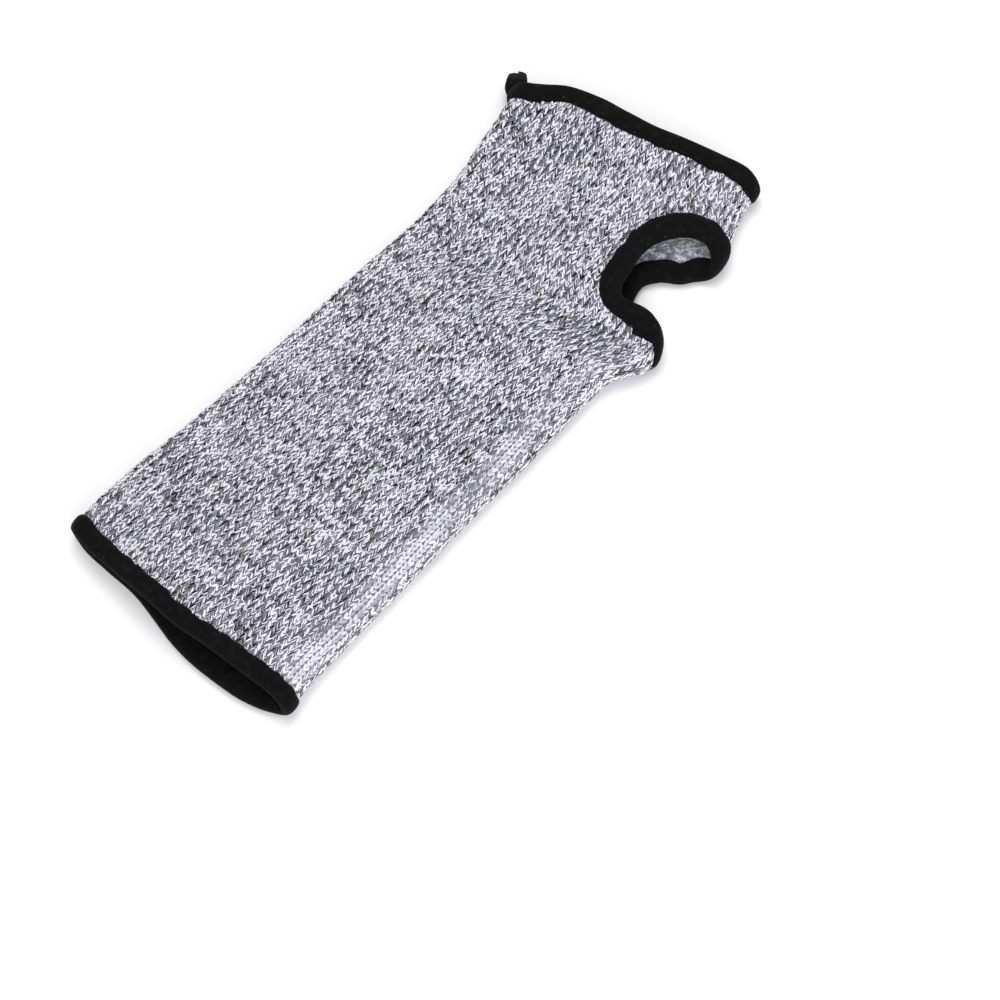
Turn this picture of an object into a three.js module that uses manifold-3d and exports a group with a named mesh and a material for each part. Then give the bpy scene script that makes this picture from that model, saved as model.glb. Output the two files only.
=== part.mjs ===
// Cut resistant sleeve for the wrist and palm, laid flat.
// A knit tube with a thumb hole across one side fold, and black folded tape round its three openings.
// Millimetres, +Z up. +Y runs along the sleeve to the hand opening, +X points to the thumb side.

import * as THREE from 'three';
import { mergeVertices } from 'three/addons/utils/BufferGeometryUtils.js';
import Module from 'manifold-3d';

// Driving dimensions of the knit tube
const sleeveLength = 234.6;
const sleeveWidth = 94;
const knitThickness = 1.4;
const crownHeight = 4;
const handSlant = 28;
const forearmWave = 8;
const dentDepth = 0.9;
const liftRun = 14;

// Driving dimensions of the thumb hole
const palmBand = 28;
const thumbReach = 24;
const thumbLength = 46;
const wristFlare = 7;
const palmFlare = 2;
const flareRun = 17;

// Driving dimensions of the folded tape
const tapeThickness = 1;
const tapeReach = 5.6;
const thumbTapeReach = 7;
const tapeClearance = 0.3;
const layerRoom = 2.4;
const tailLength = 6.5;
const tailWidth = 7;
const tailThickness = 2.2;

// Sizes that follow from them
const slotHalf = knitThickness / 2 + tapeClearance;
const tapeHalf = slotHalf + tapeThickness;
const foldRadius = tapeHalf + layerRoom / 2;
const foldQuarter = foldRadius * Math.PI / 2;
const edgeRise = tapeHalf - knitThickness / 2;
const raisedBand = 1.4 * tapeReach;

// Width and crown of the flat tube along its length.
// along is a share of the length from the forearm edge, left and right are shares of sleeveWidth
// from the middle line to each side fold, and crown is a share of crownHeight.
const stations = [
  { along: 0.00, left: 0.493, right: 0.512, crown: 1.05 },
  { along: 0.05, left: 0.507, right: 0.505, crown: 1.00 },
  { along: 0.12, left: 0.503, right: 0.502, crown: 0.90 },
  { along: 0.22, left: 0.477, right: 0.505, crown: 0.85 },
  { along: 0.36, left: 0.452, right: 0.509, crown: 0.85 },
  { along: 0.48, left: 0.438, right: 0.518, crown: 0.90 },
  { along: 0.60, left: 0.427, right: 0.519, crown: 0.95 },
  { along: 0.70, left: 0.411, right: 0.525, crown: 1.00 },
  { along: 0.77, left: 0.409, right: 0.526, crown: 1.00 },
  { along: 0.83, left: 0.418, right: 0.520, crown: 1.00 },
  { along: 0.88, left: 0.442, right: 0.502, crown: 0.95 },
  { along: 0.94, left: 0.464, right: 0.466, crown: 0.90 },
  { along: 1.00, left: 0.492, right: 0.430, crown: 0.90 },
];

// Outline of the two cut ends, from the left fold (across 0) to the thumb-side fold (across 1).
// hand columns are shares of handSlant, forearm columns are shares of forearmWave.
const edges = [
  { across: 0.00, handTop: 0.04, handBottom: 0.04, forearmTop: 0.26, forearmBottom: 0.26 },
  { across: 0.08, handTop: 0.21, handBottom: 0.22, forearmTop: 0.44, forearmBottom: 0.46 },
  { across: 0.17, handTop: 0.40, handBottom: 0.36, forearmTop: 0.43, forearmBottom: 0.47 },
  { across: 0.30, handTop: 0.525, handBottom: 0.45, forearmTop: 0.46, forearmBottom: 0.44 },
  { across: 0.42, handTop: 0.57, handBottom: 0.51, forearmTop: 0.48, forearmBottom: 0.66 },
  { across: 0.54, handTop: 0.65, handBottom: 0.61, forearmTop: 0.45, forearmBottom: 0.93 },
  { across: 0.67, handTop: 0.80, handBottom: 0.76, forearmTop: 0.24, forearmBottom: 0.97 },
  { across: 0.82, handTop: 0.96, handBottom: 0.91, forearmTop: 0.04, forearmBottom: 0.84 },
  { across: 0.92, handTop: 1.03, handBottom: 0.99, forearmTop: -0.08, forearmBottom: 0.52 },
  { across: 1.00, handTop: 0.98, handBottom: 0.98, forearmTop: 0.05, forearmBottom: 0.05 },
];

// Outline of the thumb hole, laid out flat round the thumb-side fold.
// reach is a share of thumbReach, above zero on the upper layer and below zero on the lower one.
// along is a share of thumbLength from the middle of the hole towards the hand.
const thumbOutline = [
  { reach: 0.100, along: 0.420 },
  { reach: 0.265, along: 0.470 },
  { reach: 0.490, along: 0.482 },
  { reach: 0.745, along: 0.434 },
  { reach: 0.920, along: 0.303 },
  { reach: 0.965, along: 0.130 },
  { reach: 0.930, along: -0.030 },
  { reach: 0.880, along: -0.193 },
  { reach: 0.780, along: -0.265 },
  { reach: 0.460, along: -0.262 },
  { reach: 0.220, along: -0.270 },
  { reach: 0.000, along: -0.310 },
  { reach: -0.180, along: -0.410 },
  { reach: -0.400, along: -0.415 },
  { reach: -0.580, along: -0.285 },
  { reach: -0.680, along: -0.120 },
  { reach: -0.735, along: 0.035 },
  { reach: -0.595, along: 0.133 },
  { reach: -0.340, along: 0.198 },
  { reach: -0.180, along: 0.310 },
];

// Shallow dents and swells of the upper layer. across and along are shares of width and length,
// wide and long are the half sizes in the same shares, depth is a share of dentDepth.
const dents = [
  { across: 0.66, along: 0.80, wide: 0.10, long: 0.13, depth: 1.00 },
  { across: 0.28, along: 0.66, wide: 0.16, long: 0.10, depth: 0.60 },
  { across: 0.55, along: 0.42, wide: 0.20, long: 0.12, depth: 0.70 },
  { across: 0.30, along: 0.20, wide: 0.18, long: 0.10, depth: 0.50 },
  { across: 0.62, along: 0.17, wide: 0.16, long: 0.09, depth: -0.50 },
  { across: 0.40, along: 0.90, wide: 0.16, long: 0.08, depth: -0.60 },
];

// Half width and half thickness of the loose tail of tape from its root to its tip
const tailSections = [
  { along: 0.00, wide: 0.27, thick: 1.00 },
  { along: 0.35, wide: 0.75, thick: 1.00 },
  { along: 0.75, wide: 1.00, thick: 0.90 },
  { along: 1.00, wide: 0.75, thick: 0.50 },
];

// Smooth curve through the rows of a table, read at one column
function readTable(table, key, column, at) {
  const last = table.length - 1;
  const place = Math.min(Math.max(at, table[0][key]), table[last][key]);
  let row = 0;
  while (row < last - 1 && place > table[row + 1][key]) row += 1;
  const slope = (index) => {
    const before = table[Math.max(index - 1, 0)];
    const after = table[Math.min(index + 1, last)];
    return (after[column] - before[column]) / (after[key] - before[key]);
  };
  const span = table[row + 1][key] - table[row][key];
  const t = (place - table[row][key]) / span;
  const rest = 1 - t;
  return table[row][column] * rest * rest * (1 + 2 * t)
    + slope(row) * span * t * rest * rest
    + table[row + 1][column] * t * t * (3 - 2 * t)
    - slope(row + 1) * span * t * t * rest;
}

function smooth(value) {
  const t = Math.min(Math.max(value, 0), 1);
  return t * t * (3 - 2 * t);
}

// The slanted hand edge passes the sleeve's own length at this share of the slant
const slantAtMiddle = 0.66;

// Length of the thumb-side fold, and where the thumb hole lies on it
const foldLength = sleeveLength + handSlant * (edges.at(-1).handTop - slantAtMiddle);
const thumbMiddle = 1 - (palmBand + thumbLength / 2) / foldLength;
const thumbStart = thumbMiddle - thumbLength / 2 / foldLength;
const thumbEnd = thumbMiddle + thumbLength / 2 / foldLength;

// How far the thumb-side fold is pushed out by the tape at the two ends of the thumb hole
function flareAt(along) {
  const near = (end) => 1 - smooth(Math.abs(along - end) * foldLength / flareRun);
  return wristFlare * near(thumbStart) + palmFlare * near(thumbEnd);
}

// Widths of the flat tube at one share of its length, to the middle of the wall
function widthsAt(along) {
  const left = -sleeveWidth * readTable(stations, 'along', 'left', along);
  const right = sleeveWidth * readTable(stations, 'along', 'right', along) + flareAt(along);
  return { left, right, flat: right - left - 2 * foldRadius };
}

// How far the wall is raised so that the tape under it rests on the same surface
function riseAt(around, along) {
  const toForearm = along * foldLength;
  const toHand = (1 - along) * foldLength;
  const nearEnd = Math.max(
    1 - smooth((toForearm - raisedBand) / liftRun),
    1 - smooth((toHand - raisedBand) / liftRun),
  );
  const hole = Math.hypot(around / thumbReach, 2 * (along - thumbMiddle) * foldLength / thumbLength);
  const raisedHole = 1 + thumbTapeReach / thumbReach;
  const nearHole = 1 - smooth((hole - raisedHole) * thumbReach / liftRun);
  return edgeRise * Math.max(nearEnd, nearHole);
}

function dentAt(across, along) {
  let depth = 0;
  for (const dent of dents) {
    const away = Math.hypot((across - dent.across) / dent.wide, (along - dent.along) / dent.long);
    depth += dentDepth * dent.depth * (1 - smooth(away));
  }
  return depth;
}

// Middle of the knit wall. around is the distance from the crest of the thumb-side fold,
// first over the upper layer, then round the left fold and back under the lower layer.
function wallAt(around, along) {
  const { left, right, flat } = widthsAt(along);
  const whole = 2 * flat + 4 * foldQuarter;
  const distance = ((around % whole) + whole) % whole;
  const signed = distance > whole / 2 ? distance - whole : distance;
  const base = knitThickness / 2 + riseAt(signed, along);
  const centre = base + foldRadius;
  let x;
  let z;
  if (distance <= foldQuarter) {
    const turn = distance / foldRadius;
    x = right - foldRadius + foldRadius * Math.cos(turn);
    z = centre + foldRadius * Math.sin(turn);
  } else if (distance <= foldQuarter + flat) {
    const share = (distance - foldQuarter) / flat;
    const crown = crownHeight * readTable(stations, 'along', 'crown', along);
    x = right - foldRadius - share * flat;
    z = centre + foldRadius + crown * Math.sin(Math.PI * share) ** 2;
    z -= dentAt(1 - share, along) * Math.sin(Math.PI * share) ** 2;
  } else if (distance <= 3 * foldQuarter + flat) {
    const turn = (distance - foldQuarter - flat) / foldRadius;
    x = left + foldRadius - foldRadius * Math.sin(turn);
    z = centre + foldRadius * Math.cos(turn);
  } else if (distance <= 3 * foldQuarter + 2 * flat) {
    x = left + foldRadius + (distance - 3 * foldQuarter - flat);
    z = base;
  } else {
    const turn = (whole - distance) / foldRadius;
    x = right - foldRadius + foldRadius * Math.cos(turn);
    z = centre - foldRadius * Math.sin(turn);
  }
  const across = (x - left) / (right - left);
  const upper = Math.min(Math.max((z - base) / (2 * foldRadius), 0), 1);
  const edge = (top, bottom) => {
    const high = readTable(edges, 'across', top, across);
    const low = readTable(edges, 'across', bottom, across);
    return low + (high - low) * smooth(upper);
  };
  const forearmY = -forearmWave * edge('forearmTop', 'forearmBottom');
  const handY = sleeveLength + handSlant * (edge('handTop', 'handBottom') - slantAtMiddle);
  return new THREE.Vector3(x, forearmY + (handY - forearmY) * along, z);
}

// Directions of the wall at a point: round it, along it and out of it
const smallStep = 0.01;
function slopesAt(around, along) {
  const alongStep = smallStep / sleeveLength;
  const round = wallAt(around + smallStep, along).sub(wallAt(around - smallStep, along));
  const length = wallAt(around, along + alongStep).sub(wallAt(around, along - alongStep));
  round.divideScalar(2 * smallStep);
  length.divideScalar(2 * alongStep);
  const normal = new THREE.Vector3().crossVectors(length, round).normalize();
  return { round, length, normal };
}

function offWall(around, along, height) {
  return wallAt(around, along).addScaledVector(slopesAt(around, along).normal, height);
}

// Where the columns of the tube stand: close together round the folds, wide on the flats
const foldSteps = 8;
const upperSteps = 14;
const lowerSteps = 8;

function columnsAt(along) {
  const { flat } = widthsAt(along);
  const columns = [];
  for (let i = 0; i < foldSteps / 2; i += 1) columns.push(2 * foldQuarter * i / foldSteps);
  for (let i = 0; i < upperSteps; i += 1) columns.push(foldQuarter + flat * i / upperSteps);
  for (let i = 0; i < foldSteps; i += 1) columns.push(foldQuarter + flat + 2 * foldQuarter * i / foldSteps);
  for (let i = 0; i < lowerSteps; i += 1) columns.push(3 * foldQuarter + flat * (1 + i / lowerSteps));
  for (let i = 0; i < foldSteps / 2; i += 1) {
    columns.push(3 * foldQuarter + 2 * flat + 2 * foldQuarter * i / foldSteps);
  }
  return columns;
}

// One closed solid from a list of quads, with shared corners merged and empty triangles left out
function solidFromQuads(quads) {
  const corners = [];
  for (const [a, b, c, d] of quads) corners.push(a, b, c, a, c, d);
  const loose = new THREE.BufferGeometry().setFromPoints(corners);
  const merged = mergeVertices(loose, 1e-4);
  const index = merged.getIndex().array;
  const kept = [];
  for (let i = 0; i < index.length; i += 3) {
    const [a, b, c] = [index[i], index[i + 1], index[i + 2]];
    if (a !== b && b !== c && c !== a) kept.push(a, b, c);
  }
  merged.setIndex(kept);
  return merged;
}

// Rows of points joined into a skin. closed joins the last row back to the first.
function skin(rows, closed) {
  const quads = [];
  const count = closed ? rows.length : rows.length - 1;
  for (let i = 0; i < count; i += 1) {
    const here = rows[i];
    const next = rows[(i + 1) % rows.length];
    for (let j = 0; j < here.length; j += 1) {
      const k = (j + 1) % here.length;
      quads.push([here[j], next[j], next[k], here[k]]);
    }
  }
  return quads;
}

const wasm = await Module();
wasm.setup();

function toManifold(geometry) {
  return new wasm.Manifold(new wasm.Mesh({
    numProp: 3,
    vertProperties: new Float32Array(geometry.getAttribute('position').array),
    triVerts: new Uint32Array(geometry.getIndex().array),
  }));
}

function toGeometry(solid) {
  const mesh = solid.getMesh();
  const geometry = new THREE.BufferGeometry();
  geometry.setAttribute('position', new THREE.BufferAttribute(mesh.vertProperties, 3));
  geometry.setIndex(new THREE.BufferAttribute(mesh.triVerts, 1));
  return geometry;
}

// Knit tube before the thumb hole is cut: outer skin, inner skin and the two cut ends.
// Rows stand close together at the cut ends and at both ends of the thumb hole.
const endRun = (raisedBand + liftRun) / foldLength;
const holeRun = 0.5 * flareRun / foldLength;
const rowZones = [
  { to: endRun, steps: 4 },
  { to: thumbStart - holeRun, steps: 6 },
  { to: thumbStart + holeRun, steps: 6 },
  { to: thumbEnd - holeRun, steps: 3 },
  { to: thumbEnd + holeRun, steps: 5 },
  { to: 1, steps: 4 },
];

function alongRows() {
  const rows = [0];
  for (const { to, steps } of rowZones) {
    const from = rows.at(-1);
    for (let i = 1; i <= steps; i += 1) rows.push(from + (to - from) * i / steps);
  }
  return rows;
}

function tubeGeometry() {
  const rowAt = (along, height) => columnsAt(along).map((around) => offWall(around, along, height));
  const outer = alongRows().map((along) => rowAt(along, knitThickness / 2));
  const inner = alongRows().map((along) => rowAt(along, -knitThickness / 2));
  return solidFromQuads(skin([...outer, ...inner.reverse()], true));
}

// Thumb hole outline as points round and along the tube, with short steps where it crosses the fold
function holePath() {
  const rows = thumbOutline.map(({ reach, along }) => ({
    around: reach * thumbReach,
    along: thumbMiddle + along * thumbLength / foldLength,
  }));
  const count = rows.length;
  const path = [];
  for (let i = 0; i < count; i += 1) {
    const [before, here, next, after] = [-1, 0, 1, 2].map((step) => rows[(i + step + count) % count]);
    const nearFold = Math.min(Math.abs(here.around), Math.abs(next.around)) < 1.5 * foldQuarter;
    const steps = nearFold ? 8 : 2;
    for (let j = 0; j < steps; j += 1) {
      const t = j / steps;
      const blend = (key) => here[key] + 0.5 * t * (next[key] - before[key]
        + t * (2 * before[key] - 5 * here[key] + 4 * next[key] - after[key]
        + t * (3 * (here[key] - next[key]) + after[key] - before[key])));
      path.push({ around: blend('around'), along: blend('along') });
    }
  }
  return path;
}

// Solid that fills the thumb hole and stands past both faces of the wall
function holePlug(path) {
  const margin = 1.3;
  const plugRows = 10;
  const arounds = path.map((point) => point.around);
  const far = path[arounds.indexOf(Math.max(...arounds))];
  const near = path[arounds.indexOf(Math.min(...arounds))];
  const chain = (from, to) => {
    const start = path.indexOf(from);
    const points = [];
    for (let i = 0; i <= path.length; i += 1) {
      points.push(path[(start + i) % path.length]);
      if (points.at(-1) === to) break;
    }
    return points.sort((a, b) => a.around - b.around);
  };
  const lower = chain(far, near);
  const upper = chain(near, far);
  const crossing = (points, around) => {
    let i = 0;
    while (i < points.length - 2 && around > points[i + 1].around) i += 1;
    const share = (around - points[i].around) / (points[i + 1].around - points[i].around);
    return points[i].along + share * (points[i + 1].along - points[i].along);
  };
  const foldColumns = [];
  for (let i = -foldSteps; i <= foldSteps; i += 1) foldColumns.push(foldQuarter * i / foldSteps);
  const columns = [...new Set([...arounds, ...foldColumns])].sort((a, b) => a - b);
  const sheet = (height) => columns.map((around) => {
    const ends = [crossing(lower, around), crossing(upper, around)];
    const points = [];
    for (let j = 0; j <= plugRows; j += 1) {
      points.push(offWall(around, ends[0] + (ends[1] - ends[0]) * j / plugRows, height));
    }
    return points;
  });
  const outside = sheet(knitThickness / 2 + margin);
  const inside = sheet(-knitThickness / 2 - margin);
  const loops = outside.map((points, i) => [...points, ...inside[i].reverse()]);
  const quads = skin(loops, false);
  for (const [loop, flip] of [[loops[0], true], [loops.at(-1), false]]) {
    for (let j = 0; j < plugRows; j += 1) {
      const k = loop.length - 1 - j;
      const quad = [loop[j], loop[j + 1], loop[k - 1], loop[k]];
      quads.push(flip ? quad.reverse() : quad);
    }
  }
  return solidFromQuads(quads.map((quad) => quad.reverse()));
}

// Section of the folded tape. out is measured past the knit edge, up is off the middle of the wall.
// reach is how far the tape covers the knit, bends is the count of points between a straight side's ends.
function tapeSection(reach, bends) {
  const noseCentre = tapeClearance + tapeThickness - tapeHalf;
  const lip = 0.4 * tapeThickness;
  const nose = [];
  for (let i = 0; i <= 4; i += 1) {
    const turn = Math.PI / 2 - Math.PI * i / 4;
    nose.push({ out: noseCentre + tapeHalf * Math.cos(turn), up: tapeHalf * Math.sin(turn) });
  }
  const side = (from, to, up) => {
    const points = [];
    for (let i = 1; i <= bends; i += 1) points.push({ out: from + (to - from) * i / (bends + 1), up });
    return points;
  };
  return [
    { out: -reach, up: slotHalf },
    { out: -reach + lip, up: tapeHalf },
    ...side(-reach + lip, noseCentre, tapeHalf),
    ...nose,
    ...side(noseCentre, -reach + lip, -tapeHalf),
    { out: -reach + lip, up: -tapeHalf },
    { out: -reach, up: -slotHalf },
    ...side(-reach, tapeClearance, -slotHalf),
    { out: tapeClearance, up: -slotHalf },
    { out: tapeClearance, up: slotHalf },
    ...side(tapeClearance, -reach, slotHalf),
  ];
}

// Tape folded over a closed knit edge. side is 1 where the open side lies right of the path,
// seen from outside, and -1 where it lies left.
function tapeGeometry(rings, side) {
  const quads = skin(rings, true);
  return solidFromQuads(side > 0 ? quads.map((quad) => quad.reverse()) : quads);
}

// Direction out of the knit edge at one point of a closed path, level with the wall
function outwardAt(path, i, side) {
  const [before, after] = [-1, 1].map((step) => path[(i + step + path.length) % path.length]);
  const travel = wallAt(after.around, after.along).sub(wallAt(before.around, before.along));
  const { normal } = slopesAt(path[i].around, path[i].along);
  return travel.cross(normal).normalize().multiplyScalar(side);
}

// Tape round an open end of the tube. Its section lies along the tube.
function endTape(along, side) {
  const path = columnsAt(along).map((around) => ({ around, along }));
  const rings = path.map(({ around }, i) => {
    const { length } = slopesAt(around, along);
    const alongStep = 1 / length.dot(outwardAt(path, i, side));
    return tapeSection(tapeReach, 0).map(({ out, up }) => offWall(around, along + alongStep * out, up));
  });
  return tapeGeometry(rings, side);
}

// Tape round the thumb hole. Its section lies square to the edge, on the curve of the wall.
function thumbTape(path) {
  const rings = path.map(({ around, along }, i) => {
    const { round, length } = slopesAt(around, along);
    const outward = outwardAt(path, i, -1);
    const [rr, rl, ll] = [round.dot(round), round.dot(length), length.dot(length)];
    const [or, ol] = [outward.dot(round), outward.dot(length)];
    const aroundStep = (or * ll - ol * rl) / (rr * ll - rl * rl);
    const alongStep = (ol * rr - or * rl) / (rr * ll - rl * rl);
    return tapeSection(thumbTapeReach, 3).map(({ out, up }) => offWall(
      around + aroundStep * out,
      along + alongStep * out,
      up,
    ));
  });
  return tapeGeometry(rings, -1);
}

// Loose tail of tape that stands off the hand opening at its left corner
function tailGeometry() {
  const { flat } = widthsAt(1);
  const corner = 2 * foldQuarter + flat;
  const { normal, length } = slopesAt(corner, 1);
  const onward = length.clone().normalize();
  const heading = onward.clone().multiplyScalar(0.9).addScaledVector(normal, 0.45).normalize();
  const sideways = new THREE.Vector3().crossVectors(heading, new THREE.Vector3(0, 0, 1)).normalize();
  const upward = new THREE.Vector3().crossVectors(sideways, heading);
  const root = offWall(corner, 1, tapeHalf);
  root.addScaledVector(onward, -tapeHalf);
  const rings = tailSections.map(({ along, wide, thick }) => {
    const centre = root.clone().addScaledVector(heading, along * tailLength);
    const ring = [];
    for (let i = 0; i < 8; i += 1) {
      const turn = Math.PI * (i + 0.5) / 4;
      ring.push(centre.clone()
        .addScaledVector(upward, thick * tailThickness / 2 * Math.cos(turn))
        .addScaledVector(sideways, wide * tailWidth / 2 * Math.sin(turn)));
    }
    return ring;
  });
  const quads = skin(rings, false);
  for (const [ring, flip] of [[rings[0], false], [rings.at(-1), true]]) {
    for (let j = 0; j < 3; j += 1) {
      const quad = [ring[j], ring[j + 1], ring[6 - j], ring[7 - j]];
      quads.push(flip ? quad.reverse() : quad);
    }
  }
  return solidFromQuads(quads.map((quad) => quad.reverse()));
}

// Marled grey knit and black tape
const knitMaterial = new THREE.MeshStandardMaterial({ color: 0xb4b4bd, roughness: 0.95, metalness: 0 });
const tapeMaterial = new THREE.MeshStandardMaterial({ color: 0x141416, roughness: 0.85, metalness: 0 });

function namedMesh(name, geometry, material) {
  geometry.computeVertexNormals();
  const mesh = new THREE.Mesh(geometry, material.clone());
  mesh.name = name;
  return mesh;
}

const thumbPath = holePath();
const tube = toManifold(tubeGeometry());
const body = toGeometry(tube.subtract(toManifold(holePlug(thumbPath))));
const handTape = toManifold(endTape(1, 1)).add(toManifold(tailGeometry()));

const group = new THREE.Group();
group.add(namedMesh('sleeve_body', body, knitMaterial));
group.add(namedMesh('hand_binding', toGeometry(handTape), tapeMaterial));
group.add(namedMesh('thumb_binding', thumbTape(thumbPath), tapeMaterial));
group.add(namedMesh('forearm_binding', endTape(0, -1), tapeMaterial));

// The origin is the middle of the underside
const box = new THREE.Box3().setFromObject(group);
const middle = box.getCenter(new THREE.Vector3());
for (const mesh of group.children) mesh.geometry.translate(-middle.x, -middle.y, -box.min.z);

export default group;
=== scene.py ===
import math

import bpy
import numpy as np
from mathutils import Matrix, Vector


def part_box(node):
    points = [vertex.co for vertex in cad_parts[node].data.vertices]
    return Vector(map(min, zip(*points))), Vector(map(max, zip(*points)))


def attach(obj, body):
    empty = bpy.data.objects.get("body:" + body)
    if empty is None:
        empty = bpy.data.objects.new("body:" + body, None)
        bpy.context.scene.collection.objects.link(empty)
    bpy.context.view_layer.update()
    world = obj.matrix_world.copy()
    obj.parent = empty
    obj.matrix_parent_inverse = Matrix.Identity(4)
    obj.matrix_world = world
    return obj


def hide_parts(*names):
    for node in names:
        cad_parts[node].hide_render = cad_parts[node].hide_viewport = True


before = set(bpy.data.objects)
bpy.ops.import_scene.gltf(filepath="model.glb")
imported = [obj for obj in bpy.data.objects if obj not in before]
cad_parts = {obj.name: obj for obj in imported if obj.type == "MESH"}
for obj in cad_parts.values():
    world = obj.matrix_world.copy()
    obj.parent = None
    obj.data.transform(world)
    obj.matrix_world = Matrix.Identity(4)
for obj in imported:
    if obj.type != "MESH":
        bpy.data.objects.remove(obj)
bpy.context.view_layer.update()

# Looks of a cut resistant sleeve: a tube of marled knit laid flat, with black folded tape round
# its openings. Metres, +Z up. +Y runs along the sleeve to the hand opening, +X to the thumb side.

MM = 0.001

# Knit tube
SLEEVE_LENGTH = 234.6 * MM
SLEEVE_WIDTH = 94 * MM
KNIT = 1.4 * MM
CROWN = 4 * MM
HAND_SLANT = 28 * MM
FOREARM_WAVE = 8 * MM
DENT = 0.9 * MM
LIFT_RUN = 14 * MM
RIPPLE = 0.22 * MM
RIPPLE_LENGTH = 6 * MM

# Thumb hole
PALM_BAND = 28 * MM
THUMB_REACH = 24 * MM
THUMB_LENGTH = 46 * MM
WRIST_FLARE = 7 * MM
PALM_FLARE = 2 * MM
FLARE_RUN = 17 * MM

# Folded tape
TAPE = 1 * MM
TAPE_REACH = 5.6 * MM
THUMB_TAPE_REACH = 7 * MM
CLEARANCE = 0.3 * MM
LAYER_ROOM = 2.4 * MM
SLOT_DEPTH_SHARE = 0.5
DEEPER_LIP = 2 * MM
LIP_GAP = 0.12 * MM
EVEN_WIDTH = 1.5 * MM
PATH_STEP = 0.3 * MM
RIB_SPACING = 0.9 * MM

# Loose tail of tape
TAIL_LENGTH = 8.5 * MM
TAIL_RIB_LENGTH = 6.5 * MM
TAIL_WIDTH = 7 * MM
TAIL_THICKNESS = 2.2 * MM
TAIL_SUNK = 1.6 * MM
TAIL_ASIDE = (2.3 * MM, 0.8 * MM, 0)
TAIL_CURL = 0.9 * MM
TAIL_TILT = 0.5
TAIL_POWER = 0.8
TAIL_CAP = 0.13

# Sizes that follow from them
SLOT_HALF = KNIT / 2 + CLEARANCE
TAPE_HALF = SLOT_HALF + TAPE
FOLD_RADIUS = TAPE_HALF + LAYER_ROOM / 2
FOLD_QUARTER = FOLD_RADIUS * math.pi / 2
EDGE_RISE = TAPE_HALF - KNIT / 2
RAISED_BAND = 1.4 * TAPE_REACH

# Stitches of the knit, with heights off the middle of the wall
WALES = 76
COURSES = 122
LEG_HALF_WIDTH = 0.66 * MM
LEG_BEND = 0.08 * MM
LEG_ROOT = 0.22 * MM
LEG_TOP = 0.74 * MM
LEG_LIFT = 0.8 * MM
LIFT_HALF = 0.8 * MM
HOLE_MARGIN = 0.6 * MM
END_MARGIN = 0.001
BASE_OUTSIDE = 0.36 * MM
BASE_INSIDE = -0.62 * MM

# Smallest and largest leg, as shares of the sizes above
LEG_WIDTHS = (0.82, 1.12)
LEG_BENDS = (0.2, 1.8)
LEG_TOPS = (0.86, 1.08)

# Painted highlight: a paler band beside the thumb-side fold, where light falls on the fold, which ends at a
# share of the sleeve's length
FOLD_HIGHLIGHT_MIDDLE = 6 * MM
FOLD_HIGHLIGHT_HALF = 3.2 * MM
FOLD_HIGHLIGHT_END = 0.68
FOLD_HIGHLIGHT_FADE = 0.12
FOLD_HIGHLIGHT_PATCH_ROUND = 4 * MM
FOLD_HIGHLIGHT_PATCH_LONG = 7 * MM
FOLD_HIGHLIGHT_PATCH_MEAN = 0.75
FOLD_HIGHLIGHT_PATCH_SWING = 0.45

# Loose fibres, which reach past the crest of each fold by FUZZ_UNDER of its quarter turn
FUZZ_COUNT = 4200
FUZZ_HALF_WIDTH = 0.035 * MM
FUZZ_ROOT = 0.5 * MM
FUZZ_LENGTHS = (0.8 * MM, 2.2 * MM)
FUZZ_RISES = (0.1, 0.7)
FUZZ_DROOP = 0.4
FUZZ_ENDS = (0.03, 0.97)
FUZZ_UNDER = 0.6

# Width and crown of the flat tube along its length, as shares of the width and crown
STATIONS = [
    {"along": 0.00, "left": 0.493, "right": 0.512, "crown": 1.05},
    {"along": 0.05, "left": 0.507, "right": 0.505, "crown": 1.00},
    {"along": 0.12, "left": 0.503, "right": 0.502, "crown": 0.90},
    {"along": 0.22, "left": 0.477, "right": 0.505, "crown": 0.85},
    {"along": 0.36, "left": 0.452, "right": 0.509, "crown": 0.85},
    {"along": 0.48, "left": 0.438, "right": 0.518, "crown": 0.90},
    {"along": 0.60, "left": 0.427, "right": 0.519, "crown": 0.95},
    {"along": 0.70, "left": 0.411, "right": 0.525, "crown": 1.00},
    {"along": 0.77, "left": 0.409, "right": 0.526, "crown": 1.00},
    {"along": 0.83, "left": 0.418, "right": 0.520, "crown": 1.00},
    {"along": 0.88, "left": 0.442, "right": 0.502, "crown": 0.95},
    {"along": 0.94, "left": 0.464, "right": 0.466, "crown": 0.90},
    {"along": 1.00, "left": 0.492, "right": 0.430, "crown": 0.90},
]

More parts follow.
